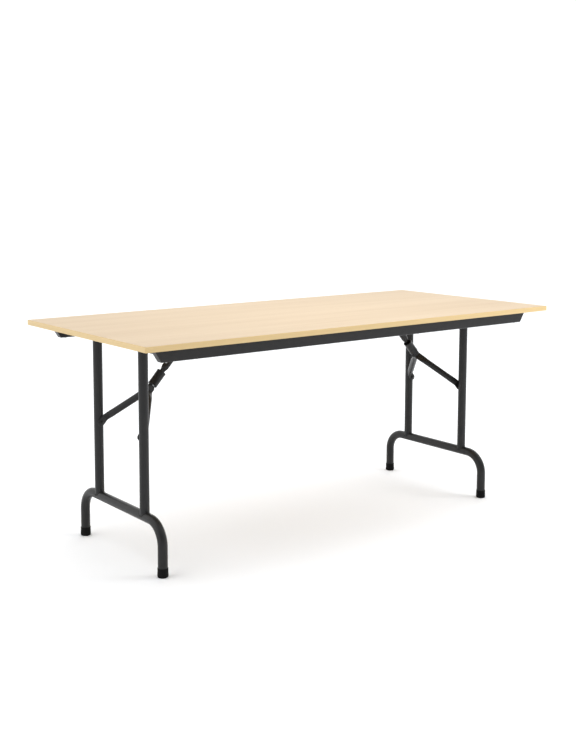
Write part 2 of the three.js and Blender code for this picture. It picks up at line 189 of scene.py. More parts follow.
def rounded_block(low, high, radius, steps=5):
    """A box with rounded edges: a point of a small sphere, pushed out along each axis by the
    sign of its direction to that side of the box, with a flat centre point above and below."""
    low, high = np.array(low), np.array(high)
    middle, half = (low + high) / 2, (high - low) / 2 - radius
    quarter = np.linspace(0.02, np.pi / 2 - 0.02, steps)
    round_z = np.concatenate([quarter + k * np.pi / 2 for k in range(4)])
    round_z = np.append(round_z, quarter[0] + 2 * np.pi)
    down = np.concatenate([quarter, quarter + np.pi / 2])
    turn, fall = np.meshgrid(round_z, down)
    ball = np.stack([np.cos(turn) * np.sin(fall), np.sin(turn) * np.sin(fall), np.cos(fall)],
                    axis=2)
    grid = middle + radius * ball + np.sign(ball) * half
    flat_z = np.where(grid[..., 2] > middle[2], high[2], low[2])
    grid[[0, -1], :, 2] = flat_z[[0, -1]]
    top = np.broadcast_to([middle[0], middle[1], high[2]], grid[:1].shape)
    bottom = np.broadcast_to([middle[0], middle[1], low[2]], grid[:1].shape)
    return np.concatenate([top, grid, bottom])


def node(tree, kind, place, **values):
    """A shader node of that kind, with inputs set by name (underscores for spaces)."""
    made = tree.nodes.new(kind)
    made.location = place
    for key, value in values.items():
        socket = key.replace("_", " ")
        if socket in made.inputs:
            made.inputs[socket].default_value = value
        else:
            setattr(made, key, value)
    return made


def ramp(tree, place, *stops):
    """A colour ramp with (position, grey or colour) stops."""
    made = node(tree, "ShaderNodeValToRGB", place)
    elements = made.color_ramp.elements
    while len(elements) < len(stops):
        elements.new(0.5)
    for element, (position, value) in zip(elements, stops):
        element.position = position
        element.color = (*value, 1.0) if isinstance(value, tuple) else (value, value, value, 1.0)
    return made


def maple_grain():
    """Node group for printed maple: long soft bands and fine straight fibres mix a pale and a
    deep colour, and small flecks darken it, all drawn out along X. Gives a colour, a
    roughness that rises from the smoothest with the fibres, and a height for them."""
    group = bpy.data.node_groups.new("maple_grain", "ShaderNodeTree")
    for name, kind in (("Vector", "Vector"), ("Pale", "Color"), ("Deep", "Color"),
                       ("Smoothest", "Float")):
        group.interface.new_socket(name, in_out="INPUT", socket_type=f"NodeSocket{kind}")
    for name, kind in (("Colour", "Color"), ("Roughness", "Float"), ("Height", "Float")):
        group.interface.new_socket(name, in_out="OUTPUT", socket_type=f"NodeSocket{kind}")
    start = node(group, "NodeGroupInput", (-1300, 0))
    end = node(group, "NodeGroupOutput", (200, 0))

    def stretched(scale, noise_scale, detail, row):
        """Noise drawn out by unequal scales along and across the grain."""
        mapped = node(group, "ShaderNodeMapping", (-1100, row), Scale=scale)
        group.links.new(start.outputs["Vector"], mapped.inputs["Vector"])
        noise = node(group, "ShaderNodeTexNoise", (-900, row), Scale=noise_scale, Detail=detail,
                     Roughness=0.6)
        group.links.new(mapped.outputs["Vector"], noise.inputs["Vector"])
        return noise

    bands = stretched((0.35, 5.5, 5.5), 1.6, 3.0, 300)
    fibres = stretched((1.4, 95.0, 95.0), 1.5, 4.0, 0)
    flecks = stretched((9.0, 150.0, 150.0), 1.2, 2.0, -300)
    band_tone = ramp(group, (-700, 300), (0.32, 0.0), (0.68, 1.0))
    fibre_tone = ramp(group, (-700, 0), (0.3, 0.0), (0.75, 1.0))
    fleck_tone = ramp(group, (-700, -300), (0.64, 0.0), (0.78, 1.0))
    for source, tone in ((bands, band_tone), (fibres, fibre_tone), (flecks, fleck_tone)):
        group.links.new(source.outputs["Fac"], tone.inputs["Fac"])
    grain = node(group, "ShaderNodeMix", (-450, 150), data_type="FLOAT")
    grain.inputs["Factor"].default_value = 0.45
    group.links.new(band_tone.outputs["Color"], grain.inputs["A"])
    group.links.new(fibre_tone.outputs["Color"], grain.inputs["B"])
    colour = node(group, "ShaderNodeMix", (-250, 150), data_type="RGBA")
    group.links.new(start.outputs["Pale"], colour.inputs["A"])
    group.links.new(start.outputs["Deep"], colour.inputs["B"])
    group.links.new(grain.outputs["Result"], colour.inputs["Factor"])
    flecked = node(group, "ShaderNodeMix", (-50, 100), data_type="RGBA", blend_type="MULTIPLY")
    flecked.inputs["B"].default_value = (0.93, 0.88, 0.80, 1.0)
    group.links.new(fleck_tone.outputs["Color"], flecked.inputs["Factor"])
    group.links.new(colour.outputs["Result"], flecked.inputs["A"])
    group.links.new(flecked.outputs["Result"], end.inputs["Colour"])
    sheen = node(group, "ShaderNodeMath", (-250, -150), operation="MULTIPLY_ADD")
    sheen.inputs[1].default_value = 0.12
    group.links.new(fibres.outputs["Fac"], sheen.inputs[0])
    group.links.new(start.outputs["Smoothest"], sheen.inputs[2])
    group.links.new(sheen.outputs["Value"], end.inputs["Roughness"])
    group.links.new(fibres.outputs["Fac"], end.inputs["Height"])
    return group


printed_grain = maple_grain()


def maple_print(name, pale, deep, smoothest, grain_turn, **sockets):
    """Printed maple under satin melamine with a very fine pressed texture. The grain runs
    along X, turned about Z by the given angle."""
    made, tree, shader = finish_material(name, smoothest, **sockets)
    place = node(tree, "ShaderNodeTexCoord", (-900, 0))
    turned = node(tree, "ShaderNodeMapping", (-700, 0), Rotation=(0.0, 0.0, grain_turn))
    grain = node(tree, "ShaderNodeGroup", (-450, 0), node_tree=printed_grain)
    grain.inputs["Pale"].default_value = (*pale, 1.0)
    grain.inputs["Deep"].default_value = (*deep, 1.0)
    grain.inputs["Smoothest"].default_value = smoothest
    pressed = node(tree, "ShaderNodeBump", (-200, -300), Strength=0.12, Distance=0.0004)
    tree.links.new(place.outputs["Object"], turned.inputs["Vector"])
    tree.links.new(turned.outputs["Vector"], grain.inputs["Vector"])
    tree.links.new(grain.outputs["Colour"], shader.inputs["Base Color"])
    tree.links.new(grain.outputs["Roughness"], shader.inputs["Roughness"])
    tree.links.new(grain.outputs["Height"], pressed.inputs["Height"])
    tree.links.new(pressed.outputs["Normal"], shader.inputs["Normal"])
    return made


laminate = maple_print("maple_laminate", LAMINATE_PALE, LAMINATE_DEEP, 0.37, 0.0,
                       Specular_IOR_Level=0.35)
low, high = (np.array(corner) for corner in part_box("table_top"))
to_lipping = np.array([BAND_JOINT, BAND_JOINT, 0.0])
board = shell("board", rounded_block(low - to_lipping, high + to_lipping, BOARD_EDGE, 3))
piece("board", board, laminate, "top", "maple_laminate", "table_top", flat_sided=True)

# ---- Lipping ------------------------------------------------------------------------
# Four strips of 2 mm plastic lipping glued round the board, printed a deeper maple than
# the face, with their outer arrises scraped round. The long ones cover the short ones' ends.
LIPPING_PALE = (0.69, 0.51, 0.25)
LIPPING_DEEP = (0.59, 0.42, 0.19)
ARRIS = 0.0009
lipping = {
    "front": maple_print("lipping_long", LIPPING_PALE, LIPPING_DEEP, 0.33, 0.0),
    "left": maple_print("lipping_short", LIPPING_PALE, LIPPING_DEEP, 0.33, math.pi / 2),
}
for side in ("front", "back", "left", "right"):
    low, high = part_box(f"edge_band_{side}")
    band = shell(f"lipping_{side}", rounded_block(low, high, ARRIS))
    kind = lipping["front" if side in ("front", "back") else "left"]
    piece(f"lipping_{side}", band, kind, "top", "edge_lipping", f"edge_band_{side}",
          flat_sided=True)

# ---- Side rails ---------------------------------------------------------------------
# Rectangular steel tube with rounded corners, cut at a slant at both ends, closed there
# by a welded plate ground flush, and powder coated anthracite all over.
COAT_DARK = (0.0110, 0.0109, 0.0110)
COAT_PALE = (0.0190, 0.0188, 0.0190)
RAIL_CORNER = 0.0035
RAIL_EDGE = 0.0012
RAIL_CUT = 0.028


def rounded_loop(half_y, half_z, radius, steps=6):
    """A closed loop round a rectangle with round corners, anticlockwise, as (y, z) rows."""
    quarter = np.linspace(0.0, np.pi / 2, steps)
    angle = np.concatenate([quarter + k * np.pi / 2 for k in range(4)])
    corner_y = np.repeat([1, -1, -1, 1], steps) * (half_y - radius)
    corner_z = np.repeat([1, 1, -1, -1], steps) * (half_z - radius)
    loop = np.stack([corner_y + radius * np.cos(angle), corner_z + radius * np.sin(angle)], axis=1)
    return np.concatenate([loop, loop[:1]])


def rail_shell(name, low, high):
    """A rectangular tube along X with slanted, closed ends. Each loop point runs the whole
    length and ends further out the nearer it is to the board. The last two steps of each
    end draw the loop in a little, which rounds its edge, and then close it on the middle."""
    low, high = np.array(low), np.array(high)
    middle, half = (low + high) / 2, (high - low) / 2
    loop = rounded_loop(half[1], half[2], RAIL_CORNER)
    share = np.concatenate([[-1.0, -1.0], np.linspace(-1.0, 1.0, 25), [1.0, 1.0]])[:, None]
    inset = RAIL_EDGE * np.concatenate([[1.0, 0.3], np.zeros(25), [0.3, 1.0]])[:, None]
    back = RAIL_EDGE * np.concatenate([[0.0, 0.3, 1.0], np.zeros(23), [1.0, 0.3, 0.0]])[:, None]
    y = (1 - inset / half[1]) * loop[:, 0]
    z = (1 - inset / half[2]) * loop[:, 1]
    reach = half[0] - RAIL_CUT * (half[2] - z) / (2 * half[2]) - back
    grid = np.stack([share * reach, y, z], axis=2) + middle
    ends = [np.broadcast_to(grid[k].mean(axis=0), grid[:1].shape) for k in (0, -1)]
    return shell(name, np.concatenate([ends[0], grid, ends[1]]))


def coat_grain():
    """Node group for powder coat: a fine orange peel, a few coarser waves where the powder
    ran thicker, and pale rubs. Gives a height, a rub mask and a tone."""
    group = bpy.data.node_groups.new("powder_coat_grain", "ShaderNodeTree")
    group.interface.new_socket("Vector", in_out="INPUT", socket_type="NodeSocketVector")
    peel_in = group.interface.new_socket("Peel Size", in_out="INPUT", socket_type="NodeSocketFloat")
    peel_in.default_value = 900.0
    rub_in = group.interface.new_socket("Rub Amount", in_out="INPUT", socket_type="NodeSocketFloat")
    rub_in.default_value = 0.5
    for out in ("Height", "Rub", "Tone"):
        group.interface.new_socket(out, in_out="OUTPUT", socket_type="NodeSocketFloat")
    start = node(group, "NodeGroupInput", (-900, 0))
    end = node(group, "NodeGroupOutput", (500, 0))
    peel = node(group, "ShaderNodeTexNoise", (-600, 250), Detail=2.0, Roughness=0.5)
    waves = node(group, "ShaderNodeTexNoise", (-600, 0), Scale=38.0, Detail=3.0, Roughness=0.55)
    rubs = node(group, "ShaderNodeTexNoise", (-600, -250), Scale=23.0, Detail=8.0, Roughness=0.72)
    for texture in (peel, waves, rubs):
        group.links.new(start.outputs["Vector"], texture.inputs["Vector"])
    group.links.new(start.outputs["Peel Size"], peel.inputs["Scale"])
    height = node(group, "ShaderNodeMath", (-200, 200), operation="MULTIPLY_ADD")
    height.inputs[1].default_value = 0.6
    group.links.new(waves.outputs["Fac"], height.inputs[0])
    group.links.new(peel.outputs["Fac"], height.inputs[2])
    rub_mask = node(group, "ShaderNodeMapRange", (-300, -250))
    rub_mask.inputs["From Min"].default_value = 0.60
    rub_mask.inputs["From Max"].default_value = 0.78
    group.links.new(rubs.outputs["Fac"], rub_mask.inputs["Value"])
    rub = node(group, "ShaderNodeMath", (-50, -250), operation="MULTIPLY")
    group.links.new(rub_mask.outputs["Result"], rub.inputs[0])
    group.links.new(start.outputs["Rub Amount"], rub.inputs[1])
    group.links.new(height.outputs["Value"], end.inputs["Height"])
    group.links.new(rub.outputs["Value"], end.inputs["Rub"])
    group.links.new(waves.outputs["Fac"], end.inputs["Tone"])
    return group


powder_grain = coat_grain()


def surface_finish(name, dark, pale, roughness, peel_size, rub_amount, depth, **sockets):
    """A finish built on the powder coat group: colour by tone, paler and rougher at rubs."""
    made, tree, shader = finish_material(name, roughness, **sockets)
    place = node(tree, "ShaderNodeTexCoord", (-900, 0))
    grain = node(tree, "ShaderNodeGroup", (-700, 0), node_tree=powder_grain)
    grain.inputs["Peel Size"].default_value = peel_size
    grain.inputs["Rub Amount"].default_value = rub_amount
    tree.links.new(place.outputs["Object"], grain.inputs["Vector"])
    tone = node(tree, "ShaderNodeMix", (-450, 200), data_type="RGBA")
    tone.inputs["A"].default_value = (*dark, 1.0)
    tone.inputs["B"].default_value = (*pale, 1.0)
    tree.links.new(grain.outputs["Tone"], tone.inputs["Factor"])
    rubbed = node(tree, "ShaderNodeMix", (-250, 200), data_type="RGBA")
    rubbed.inputs["B"].default_value = (*(min(1.0, channel * 1.7) for channel in pale), 1.0)
    tree.links.new(grain.outputs["Rub"], rubbed.inputs["Factor"])
    tree.links.new(tone.outputs["Result"], rubbed.inputs["A"])
    tree.links.new(rubbed.outputs["Result"], shader.inputs["Base Color"])
    rough = node(tree, "ShaderNodeMapRange", (-250, -50))
    rough.inputs["To Min"].default_value = roughness
    rough.inputs["To Max"].default_value = min(1.0, roughness + 0.2)
    tree.links.new(grain.outputs["Rub"], rough.inputs["Value"])
    tree.links.new(rough.outputs["Result"], shader.inputs["Roughness"])
    bump = node(tree, "ShaderNodeBump", (-250, -300), Strength=0.35, Distance=depth)
    tree.links.new(grain.outputs["Height"], bump.inputs["Height"])
    tree.links.new(bump.outputs["Normal"], shader.inputs["Normal"])
    return made


powder_coat = surface_finish("powder_coat", COAT_DARK, COAT_PALE, 0.34, 950.0, 0.35, 0.00012,
                             Specular_IOR_Level=0.28)
for side in ("front", "back"):
    rail = rail_shell(f"side_rail_{side}_tube", *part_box(f"side_rail_{side}"))
    piece(f"side_rail_{side}_tube", rail, powder_coat, "top", "powder_coated_steel",
          f"side_rail_{side}", flat_sided=True)

# ---- Screws -------------------------------------------------------------------------
# Zinc-plated pan-headed wood screws with a cross recess, driven up through the rails and
# the strut brackets into the board. Only their heads show.
ZINC_DARK = (0.42, 0.43, 0.44)
ZINC_PALE = (0.62, 0.63, 0.64)
SHANK = 0.002
HEAD_RISE = 0.0026
NECK = 0.004
TIP = 0.003
CROSS_ARM = 0.0026
CROSS_WIDTH = 0.0006
CROSS_DEPTH = 0.0013
zinc = surface_finish("bright_zinc", ZINC_DARK, ZINC_PALE, 0.28, 500.0, 0.4, 0.00003, Metallic=1.0)


def screw_shell(name, low, high):
    """A screw pointing up. Radius and height follow a profile from the middle of the head's
    face out, up the shank and in to the tip. Near the middle the face sinks into a cross."""
    low, high = np.array(low), np.array(high)
    middle = (low + high) / 2
    head = (high[0] - low[0]) / 2
    tall = high[2] - low[2]
    face = np.linspace(0.0, np.pi / 2, 15)
    radius = np.concatenate([head * np.sin(face) ** 0.9,
                             [head, 0.98 * head, SHANK, SHANK, SHANK, 0.0]])
    lift = np.concatenate([0.75 * HEAD_RISE * (1 - np.cos(face)) ** 1.3,
                           [0.96 * HEAD_RISE, HEAD_RISE, HEAD_RISE, HEAD_RISE + NECK,
                            tall - TIP, tall]])
    turn = np.linspace(0.0, 2 * np.pi, 49)
    x = radius[:, None] * np.cos(turn)
    y = radius[:, None] * np.sin(turn)
    z = np.broadcast_to(lift[:, None], x.shape).copy()
    along = np.maximum(np.abs(x), np.abs(y))
    across = np.minimum(np.abs(x), np.abs(y))
    sunk = (np.clip((CROSS_WIDTH - across) / 0.0002 + 0.5, 0, 1)
            * np.clip((CROSS_ARM - along) / 0.0003, 0, 1))
    z[:len(face)] += (CROSS_DEPTH * sunk)[:len(face)]
    grid = np.stack([x + middle[0], y + middle[1], z + low[2]], axis=2)
    return shell(name, grid)


for name in sorted(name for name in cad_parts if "_screw_" in name):
    screw = screw_shell(name, *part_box(name))
    piece(f"{name}_cross_head", screw, zinc, "top", "zinc_plated_steel", name)

# ---- Leg frames ---------------------------------------------------------------------
# Round steel tube, 32 mm by 1.5 mm: two legs cut to fit between the hinge tube above and
# the bent foot tube below, and welded to both before the frame is powder coated.
TUBE_RADIUS = 0.016
TUBE_WALL = 0.0015
LEG_Y = 0.150
FOOT_BEND = 0.072
MID_BAR = 0.080
BEAD = 0.0019
AROUND = 48


def ring(count=AROUND):
    """Angles once round, with the last at the first's place."""
    return np.linspace(0.0, 2 * np.pi, count + 1)


def tube_walls(centre, side, lift, radius, wall):
    """A tube whose section stands in the plane of side and lift at each centre point, with
    its bore and its two end rings."""
    turn = ring()

    def skin(r):
        return (centre[:, None] + r * np.cos(turn)[None, :, None] * side[:, None]
                + r * np.sin(turn)[None, :, None] * lift[:, None])

    outer, inner = skin(radius), skin(radius - wall)
    return [outer, inner] + [np.stack([outer[k], inner[k]]) for k in (0, -1)]


def foot_route(low, high):
    """An upside-down U in the plane of the frame: up, a quarter turn, across, a quarter turn
    and down. Gives the centre line and its sideways direction in the plane."""
    x = (low[0] + high[0]) / 2
    span = high[1] - TUBE_RADIUS
    bar = high[2] - TUBE_RADIUS
    turn = np.linspace(0.0, np.pi / 2, 17)
    rise = np.linspace(low[2], bar - FOOT_BEND, 5)
    arc_y = -span + FOOT_BEND * (1 - np.cos(turn))
    arc_z = bar - FOOT_BEND + FOOT_BEND * np.sin(turn)
    half_y = np.concatenate([np.full(4, -span), arc_y, [-MID_BAR]])
    half_z = np.concatenate([rise[:4], arc_z, [bar]])
    y = np.concatenate([half_y, -half_y[::-1]])
    z = np.concatenate([half_z, half_z[::-1]])
    centre = np.stack([np.full_like(y, x), y, z], axis=1)
    way = np.gradient(centre, axis=0)
    way /= np.linalg.norm(way, axis=1, keepdims=True)
    return centre, np.stack([np.zeros_like(y), -way[:, 2], way[:, 1]], axis=1)


def leg_shell(name, x, y, low, high):
    """A straight tube whose ends follow the round tubes it meets: at each point round it the
    end lies the root of the radius squared less the X offset squared off their axes."""
    turn = ring()
    grids = []
    for r in (TUBE_RADIUS, TUBE_RADIUS - TUBE_WALL):
        saddle = np.sqrt(np.maximum(TUBE_RADIUS ** 2 - (r * np.cos(turn)) ** 2, 0.0))
        bottom, top = low + saddle, high - saddle
        share = np.linspace(0.0, 1.0, 13)[:, None]
        z = bottom + share * (top - bottom)
        grids.append(np.stack([np.broadcast_to(x + r * np.cos(turn), z.shape),
                               np.broadcast_to(y + r * np.sin(turn), z.shape), z], axis=2))
    ends = [np.stack([grids[0][k], grids[1][k]]) for k in (0, -1)]
    return shell(name, *grids, *ends)


def bead_shell(name, x, y, axis_z, above, phase):
    """A weld bead: a small round section carried round the saddle line where a leg meets a
    tube, swelling and shrinking with the ripples that the welder left."""
    turn = ring(168)
    saddle = np.sqrt(np.maximum(TUBE_RADIUS ** 2 - (TUBE_RADIUS * np.cos(turn)) ** 2, 0.0))
    sign = 1.0 if above else -1.0
    line = np.stack([x + TUBE_RADIUS * np.cos(turn), y + TUBE_RADIUS * np.sin(turn),
                     axis_z + sign * saddle], axis=1)
    out = np.stack([np.cos(turn), np.sin(turn), np.zeros_like(turn)], axis=1)
    up = np.broadcast_to([0.0, 0.0, sign], out.shape)
    swell = BEAD * (1.0 + 0.12 * np.sin(28 * turn + phase) + 0.10 * np.sin(3 * turn + 2 * phase))
    round_section = ring(10)
    grid = (line[:, None] + (swell[:, None] * np.cos(round_section))[..., None] * out[:, None]
            + (swell[:, None] * np.sin(round_section))[..., None] * up[:, None])
    return shell(name, grid, sharp=60.0)


for end in ("left", "right"):
    body = f"leg_frame_{end}"
    low, high = (np.array(corner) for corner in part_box(f"hinge_tube_{end}"))
    hinge_x, hinge_z = (low[0] + high[0]) / 2, (low[2] + high[2]) / 2
    centre = np.stack([np.full(9, hinge_x), np.linspace(low[1], high[1], 9), np.full(9, hinge_z)],
                      axis=1)
    side, lift = (np.broadcast_to(way, centre.shape) for way in ((1.0, 0, 0), (0, 0, 1.0)))
    hinge = shell(f"hinge_tube_{end}_round",
                  *tube_walls(centre, side, lift, TUBE_RADIUS, TUBE_WALL))
    piece(f"hinge_tube_{end}_round", hinge, powder_coat, body, "powder_coated_steel",
          f"hinge_tube_{end}")

    low, high = (np.array(corner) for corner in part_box(f"foot_tube_{end}"))
    centre, lift = foot_route(low, high)
    side = np.broadcast_to((1.0, 0.0, 0.0), centre.shape)
    foot = shell(f"foot_tube_{end}_bent", *tube_walls(centre, side, lift, TUBE_RADIUS, TUBE_WALL))
    piece(f"foot_tube_{end}_bent", foot, powder_coat, body, "powder_coated_steel",
          f"foot_tube_{end}")
    bar_z = high[2] - TUBE_RADIUS

    for where, y in (("front", -LEG_Y), ("back", LEG_Y)):
        name = f"leg_tube_{end}_{where}"
        leg = leg_shell(f"{name}_coped", hinge_x, y, bar_z, hinge_z)
        piece(f"{name}_coped", leg, powder_coat, body, "powder_coated_steel", name)
        for place, axis_z, above in (("foot", bar_z, True), ("hinge", hinge_z, False)):
            weld = f"weld_{end}_{where}_{place}"
            bead = bead_shell(weld, hinge_x, y, axis_z, above, 10 * y + axis_z)
            piece(weld, bead, powder_coat, body, "powder_coated_steel")

# ---- Foot caps ----------------------------------------------------------------------
# Black rubber caps pushed over the tube ends, with a thin lip at the mouth, a fuller foot
# and a rounded sole.
RUBBER_DARK = (0.0035, 0.0035, 0.0035)
RUBBER_PALE = (0.0075, 0.0075, 0.0075)
SOLE_ROUND = 0.0040
SOLE_FLOOR = 0.0043
LIP_ROUND = 0.0006
CAP_SIDE = ((0.0, 0.010), (0.0004, 0.0145), (0.0008, 0.024), (0.0005, 0.0252), (0.0004, 0.0275))
rubber = surface_finish("foot_rubber", RUBBER_DARK, RUBBER_PALE, 0.75, 420.0, 0.5, 0.0002,
                        Specular_IOR_Level=0.12)


def turned_shell(name, profile, origin, axis, count=AROUND, sharp=32.0):
    """A turned piece: (radius, distance) points carried once round an axis from an origin."""
    axis = np.array(axis, dtype=float)
    side = np.cross(axis, (0.0, 0.0, 1.0) if abs(axis[2]) < 0.9 else (1.0, 0.0, 0.0))
    side /= np.linalg.norm(side)
    lift = np.cross(axis, side)
    radius, along = np.array(profile).T
    turn = ring(count)
    grid = (np.array(origin) + along[:, None, None] * axis
            + (radius[:, None] * np.cos(turn))[..., None] * side
            + (radius[:, None] * np.sin(turn))[..., None] * lift)
    return shell(name, grid, sharp=sharp)


def arc(centre_r, centre_z, radius, start, stop, steps=6):
    """Points of a round corner in a turned profile, with angles in degrees."""
    angle = np.radians(np.linspace(start, stop, steps))
    return [(centre_r + radius * math.cos(a), centre_z + radius * math.sin(a)) for a in angle]


for end in ("left", "right"):
    for where in ("front", "back"):
        name = f"foot_cap_{end}_{where}"
        low, high = (np.array(corner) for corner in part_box(name))
        full = (high[0] - low[0]) / 2
        tall = high[2] - low[2]
        bore = TUBE_RADIUS + 0.0001
        profile = ([(0.0, 0.0), (full - SOLE_ROUND - 0.0002, 0.0)]
                   + arc(full - SOLE_ROUND, SOLE_ROUND, SOLE_ROUND, -90, 0)
                   + [(full - drawn_in, height) for drawn_in, height in CAP_SIDE]
                   + arc(full - 0.0010, tall - 0.0008, LIP_ROUND, 0, 90, 4)
                   + [(bore, tall), (bore, SOLE_FLOOR), (0.0, SOLE_FLOOR)])
        foot_point = ((low[0] + high[0]) / 2, (low[1] + high[1]) / 2, low[2])
        cap = turned_shell(f"{name}_moulded", profile, foot_point, (0, 0, 1))
        piece(f"{name}_moulded", cap, rubber, f"leg_frame_{end}", "rubber", name)

# ---- Pivot bushes -------------------------------------------------------------------
# Black nylon bushes pressed into the rails' inner walls, their flanges towards the middle
# of the table, which carry the hinge tubes.
NYLON_DARK = (0.008, 0.008, 0.008)
NYLON_PALE = (0.016, 0.016, 0.016)
FLANGE_THICK = 0.002
FLANGE_ROUND = 0.0008
BUSH_WALL = 0.002
BUSH_EASE = 0.0006
nylon = surface_finish("black_nylon", NYLON_DARK, NYLON_PALE, 0.5, 600.0, 0.2, 0.0001)
for end in ("left", "right"):
    for where, outward in (("front", -1.0), ("back", 1.0)):
        name = f"pivot_bush_{end}_{where}"
        low, high = (np.array(corner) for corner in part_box(name))
        flange = (high[0] - low[0]) / 2
        bore = TUBE_RADIUS + 0.0002
        tall = high[1] - low[1]
        profile = ([(bore, BUSH_EASE), (bore + BUSH_EASE, 0.0)]
                   + arc(flange - FLANGE_ROUND, FLANGE_ROUND, FLANGE_ROUND, -90, 0, 4)
                   + [(flange, FLANGE_THICK), (bore + BUSH_WALL, FLANGE_THICK),
                      (bore + BUSH_WALL, tall), (bore, tall), (bore, BUSH_EASE)])
        start = ((low[0] + high[0]) / 2, low[1] if outward > 0 else high[1], (low[2] + high[2]) / 2)
        bush = turned_shell(f"{name}_flanged", profile, start, (0, outward, 0))
        piece(f"{name}_flanged", bush, nylon, "top", "nylon", name)

# ---- Strut brackets -----------------------------------------------------------------
# Steel plates pressed with two lugs that stand down from them, screwed up under the board.
# Each holds the pin of one strut between its lugs, and is powder coated like the frame.
for end in ("left", "right"):
    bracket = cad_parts[f"strut_bracket_{end}"]
    bracket.data.materials.clear()
    bracket.data.materials.append(powder_coat)

# ---- Knee braces --------------------------------------------------------------------
# Steel tube pressed flat at its ends and drilled. The strut hangs from a bracket under the
# board, and two arms run from its knee to rivets on the legs. A loose sleeve slides down
# over the knee and locks it straight.
STRUT_RADIUS = 0.0125
ARM_RADIUS = 0.012
EYE = 0.009
STRUT_FLAT = 0.003
ARM_FLAT = 0.00175
ARM_SHOULDER = 0.014
ARM_PAD = 0.013
EYE_Y = 0.00505
PAD_Y = 0.13125
ARM_DROP = 0.295
STRUT_REACH = 0.268
STRUT_FLAT_TO = 0.014
STRUT_ROUND_FROM = 0.040
KNEE_ROUND_TO = 0.076
KNEE_FLAT_FROM = 0.057
SHOULDER_FROM = 0.004
SHOULDER_TO = 0.012
ARM_BEND_AT_KNEE = 0.024
ARM_BEND_AT_LEG = 0.022
KNEE_TAPER = 0.038
LEG_TAPER = 0.031
brace_span = math.hypot(STRUT_REACH, ARM_DROP)
arm_length = (brace_span - (ARM_DROP - STRUT_REACH)) / 2
strut_length = brace_span - arm_length


def smooth_through(stations, count):
    """Values between stations, eased so that the slope is flat at each one. Stations are
    rows of (place, values ...), and the places are spread evenly along the result."""
    stations = np.array(stations)
    place = np.linspace(stations[0, 0], stations[-1, 0], count)
    place = np.unique(np.concatenate([place, stations[:, 0]]))
    which = np.clip(np.searchsorted(stations[:, 0], place, side="right") - 1, 0, len(stations) - 2)
    share = (place - stations[which, 0]) / (stations[which + 1, 0] - stations[which, 0])
    ease = share * share * (3 - 2 * share)
    before, after = stations[which, 1:], stations[which + 1, 1:]
    return place, before + ease[:, None] * (after - before)


def pressed_shell(name, path, half_width, half_thick, across, width_way):
    """A bar whose section is a circle where it is left round and a flat rounded slot where it
    is pressed: a superellipse whose power grows from 2 as it gets flatter. It closes on a
    point at each end."""
    turn = ring(40)
    flat = np.clip(1 - half_thick / half_width, 0, 1)
    power = 2.0 / (2.0 + 2.5 * flat)
    c, s = np.cos(turn), np.sin(turn)
    wide = np.sign(c) * np.abs(c) ** power[:, None] * half_width[:, None]
    thick = np.sign(s) * np.abs(s) ** power[:, None] * half_thick[:, None]
    grid = path[:, None] + wide[..., None] * width_way + thick[..., None] * across[:, None]
    grid = np.concatenate([np.broadcast_to(path[0], grid[:1].shape), grid,
                           np.broadcast_to(path[-1], grid[:1].shape)])
    return shell(name, grid, sharp=50.0)


def round_ends(place, width, first, last):
    """Narrows half widths to circles of the given radii at a bar's two tips: the root of the
    radius squared less the square of the distance still left to the circle's centre."""
    for tip, radius in ((place[0], first), (place[-1], last)):
        depth = np.abs(tip - place)
        left = radius - np.minimum(depth, radius)
        circle = np.sqrt(np.maximum(radius ** 2 - left ** 2, 1e-10))
        width = np.where(depth < radius, np.minimum(width, circle), width)
    return width


def brace_line(end):
    """Where a brace's line meets its leg frame, between the rivets of its two arms, and the
    direction from there up to the pin of its bracket."""
    low, high = (np.array(corner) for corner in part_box(f"hinge_tube_{end}"))
    inboard = 1.0 if end == "left" else -1.0
    foot_end = (low + high) / 2 - (0.0, 0.0, ARM_DROP)
    return foot_end, np.array([inboard * STRUT_REACH, 0.0, ARM_DROP]) / brace_span


